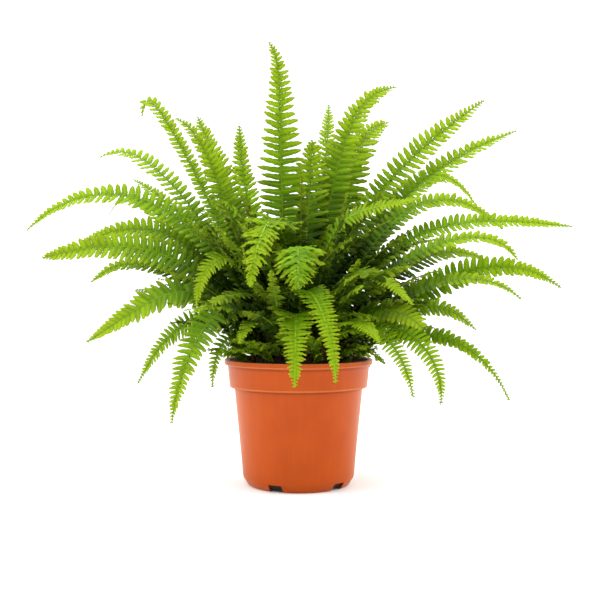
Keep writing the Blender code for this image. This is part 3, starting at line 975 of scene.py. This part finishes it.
# Young fronds: low and curly ones over the rim, taller ones in the middle. Climb is the angle they leave
# at, in the middle, and how much less it is at the crown's edge; fall is how far they arch over.
youngFronds = {
    "low": {
        "count": 120, "reach": 0.98, "climb": (82, 38), "fall": (30, 70), "length": (34 * mm, 66 * mm),
        "width": (9 * mm, 16 * mm), "stalk": 0.55, "toneAndShade": 0.4,
    },
    "tall": {
        # the tall ones' low tone is painted shade over the middle of the plant
        "count": 110, "reach": 0.8, "climb": (88, 44), "fall": (20, 75), "length": (95 * mm, 150 * mm),
        "width": (11 * mm, 20 * mm), "stalk": 0.75, "toneAndShade": -0.3,
    },
}


def crownFelt():
    paint = Finish("crownFibre")
    coarse = paint.noise(3 * mm, 5, roughness=0.65)
    threads = paint.noise(0.8 * mm, 4, (1, 1, 0.2))
    colour = paint.mix(paint.smooth(coarse, 0.35, 0.65), crown["dark"], crown["fibre"])
    colour = paint.mix(paint.smooth(threads, 0.5, 0.7) * 0.6, colour, crown["moss"])
    return paint.show(paint.principled(
        Base_Color=colour, Roughness=0.8 + threads * 0.15, Specular_IOR_Level=0.25,
        Normal=paint.bump(coarse * 0.6 + threads, 0.9 * mm)))


def domeHeight(radius, low, high):
    share = min(radius / high.x, 1)
    return low.z + (high.z - low.z) * math.sqrt(1 - share * share)


# outward is 0 for a young frond from the crown's middle and 1 for one from its edge
def youngCourse(kind, outward, heading, low, high, dice):
    radius = high.x * kind["reach"] * math.sqrt(outward)
    flat = Vector((math.cos(heading), math.sin(heading), 0))
    steep, less = kind["climb"]
    climb = math.radians(steep - less * outward + dice.uniform(-8, 8))
    leave = flat * math.cos(climb) + up * math.sin(climb)
    span = dice.uniform(*kind["length"]) * (1.1 - 0.32 * outward)
    fall = max(climb - math.radians(dice.uniform(*kind["fall"])), math.radians(-12))
    arrive = flat * math.cos(fall) + up * math.sin(fall)
    swayed = Matrix.Rotation(dice.uniform(-0.7, 0.7), 3, "Z") @ arrive
    root = flat * radius + up * (domeHeight(radius, low, high) - 1 * mm)
    end = root + (leave + swayed).normalized() * span
    controls = (root, root + leave * span * 0.4, end - swayed * span * 0.35, end)
    side = leave.cross(Vector((-flat.y, flat.x, 0)))
    rolled = Matrix.Rotation(dice.uniform(-0.5, 0.5), 3, leave) @ -side
    width = dice.uniform(*kind["width"])
    return Course([np.array(c) for c in controls], np.array([rolled, rolled]), width, crown["samples"])


def makeCrown(materials):
    low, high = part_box("crown")
    outline = [Vector((0, low.z - 1 * mm))]
    for ring in range(crown["rings"] + 1):
        angle = math.pi / 2 * ring / crown["rings"]
        radius = high.x * math.cos(angle)
        height = low.z + (high.z - low.z) * math.sin(angle)
        outline.append(Vector((radius if ring < crown["rings"] else 0, height)))
    mound = lathe(outline, crown["steps"])
    for vertex in mound.verts:
        if vertex.co.z > low.z:
            push = noise.fractal(vertex.co / crown["lumpSize"], 0.8, 2.1, 4) * crown["lumps"] - 1 * mm
            vertex.co += vertex.co.normalized() * push
    dice = random.Random(5)
    for _ in range(crown["stubs"]):
        radius = high.x * 0.95 * math.sqrt(dice.random())
        angle = dice.uniform(0, math.tau)
        thick = dice.uniform(*crown["stubRadius"])
        tall = dice.uniform(*crown["stubLength"])
        hinge = Vector((-math.sin(angle), math.cos(angle), 0))
        tilt = Matrix.Rotation(dice.uniform(*crown["stubTilt"]), 3, hinge)
        thin = thick * dice.uniform(*crown["stubTaper"])
        made = bmesh.ops.create_cone(
            mound, cap_ends=True, segments=7, radius1=thick, radius2=thin, depth=tall)
        foot = Vector((radius * math.cos(angle), radius * math.sin(angle), 0))
        foot.z = domeHeight(radius, low, high) - 1.5 * mm
        for vertex in made["verts"]:
            vertex.co = tilt @ (vertex.co + up * tall / 2) + foot
    mesh = toMesh("crownMound", mound)
    mesh.materials.append(crownFelt())
    addPiece("crownMound", mesh, ["crown"])

    parts = [Growth() for _ in range(crown["pieces"])]
    index = 0
    for kind in youngFronds.values():
        for number in range(kind["count"]):
            outward = (number + 0.5) / kind["count"]
            growth = parts[index % len(parts)]
            heading = index * crown["turn"] + dice.uniform(-0.2, 0.2)
            course = youngCourse(kind, outward, heading, low, high, dice)
            growStalk(growth, course, kind["stalk"])
            growLeaflets(growth, course, dice, {**youngFrond, "toneAndShade": kind["toneAndShade"]})
            index += 1
    for index, growth in enumerate(parts, 1):
        mesh = growth.mesh("youngFronds_%d" % index, materials)
        addPiece("youngFronds_%d" % index, mesh)
    print("crown made, with", sum(kind["count"] for kind in youngFronds.values()), "young fronds")


makeStudio()
makePot()
makeSoil()
foliage = [leafletGreen(), stalkGreen()]
makeFronds(foliage)
makeCrown(foliage)
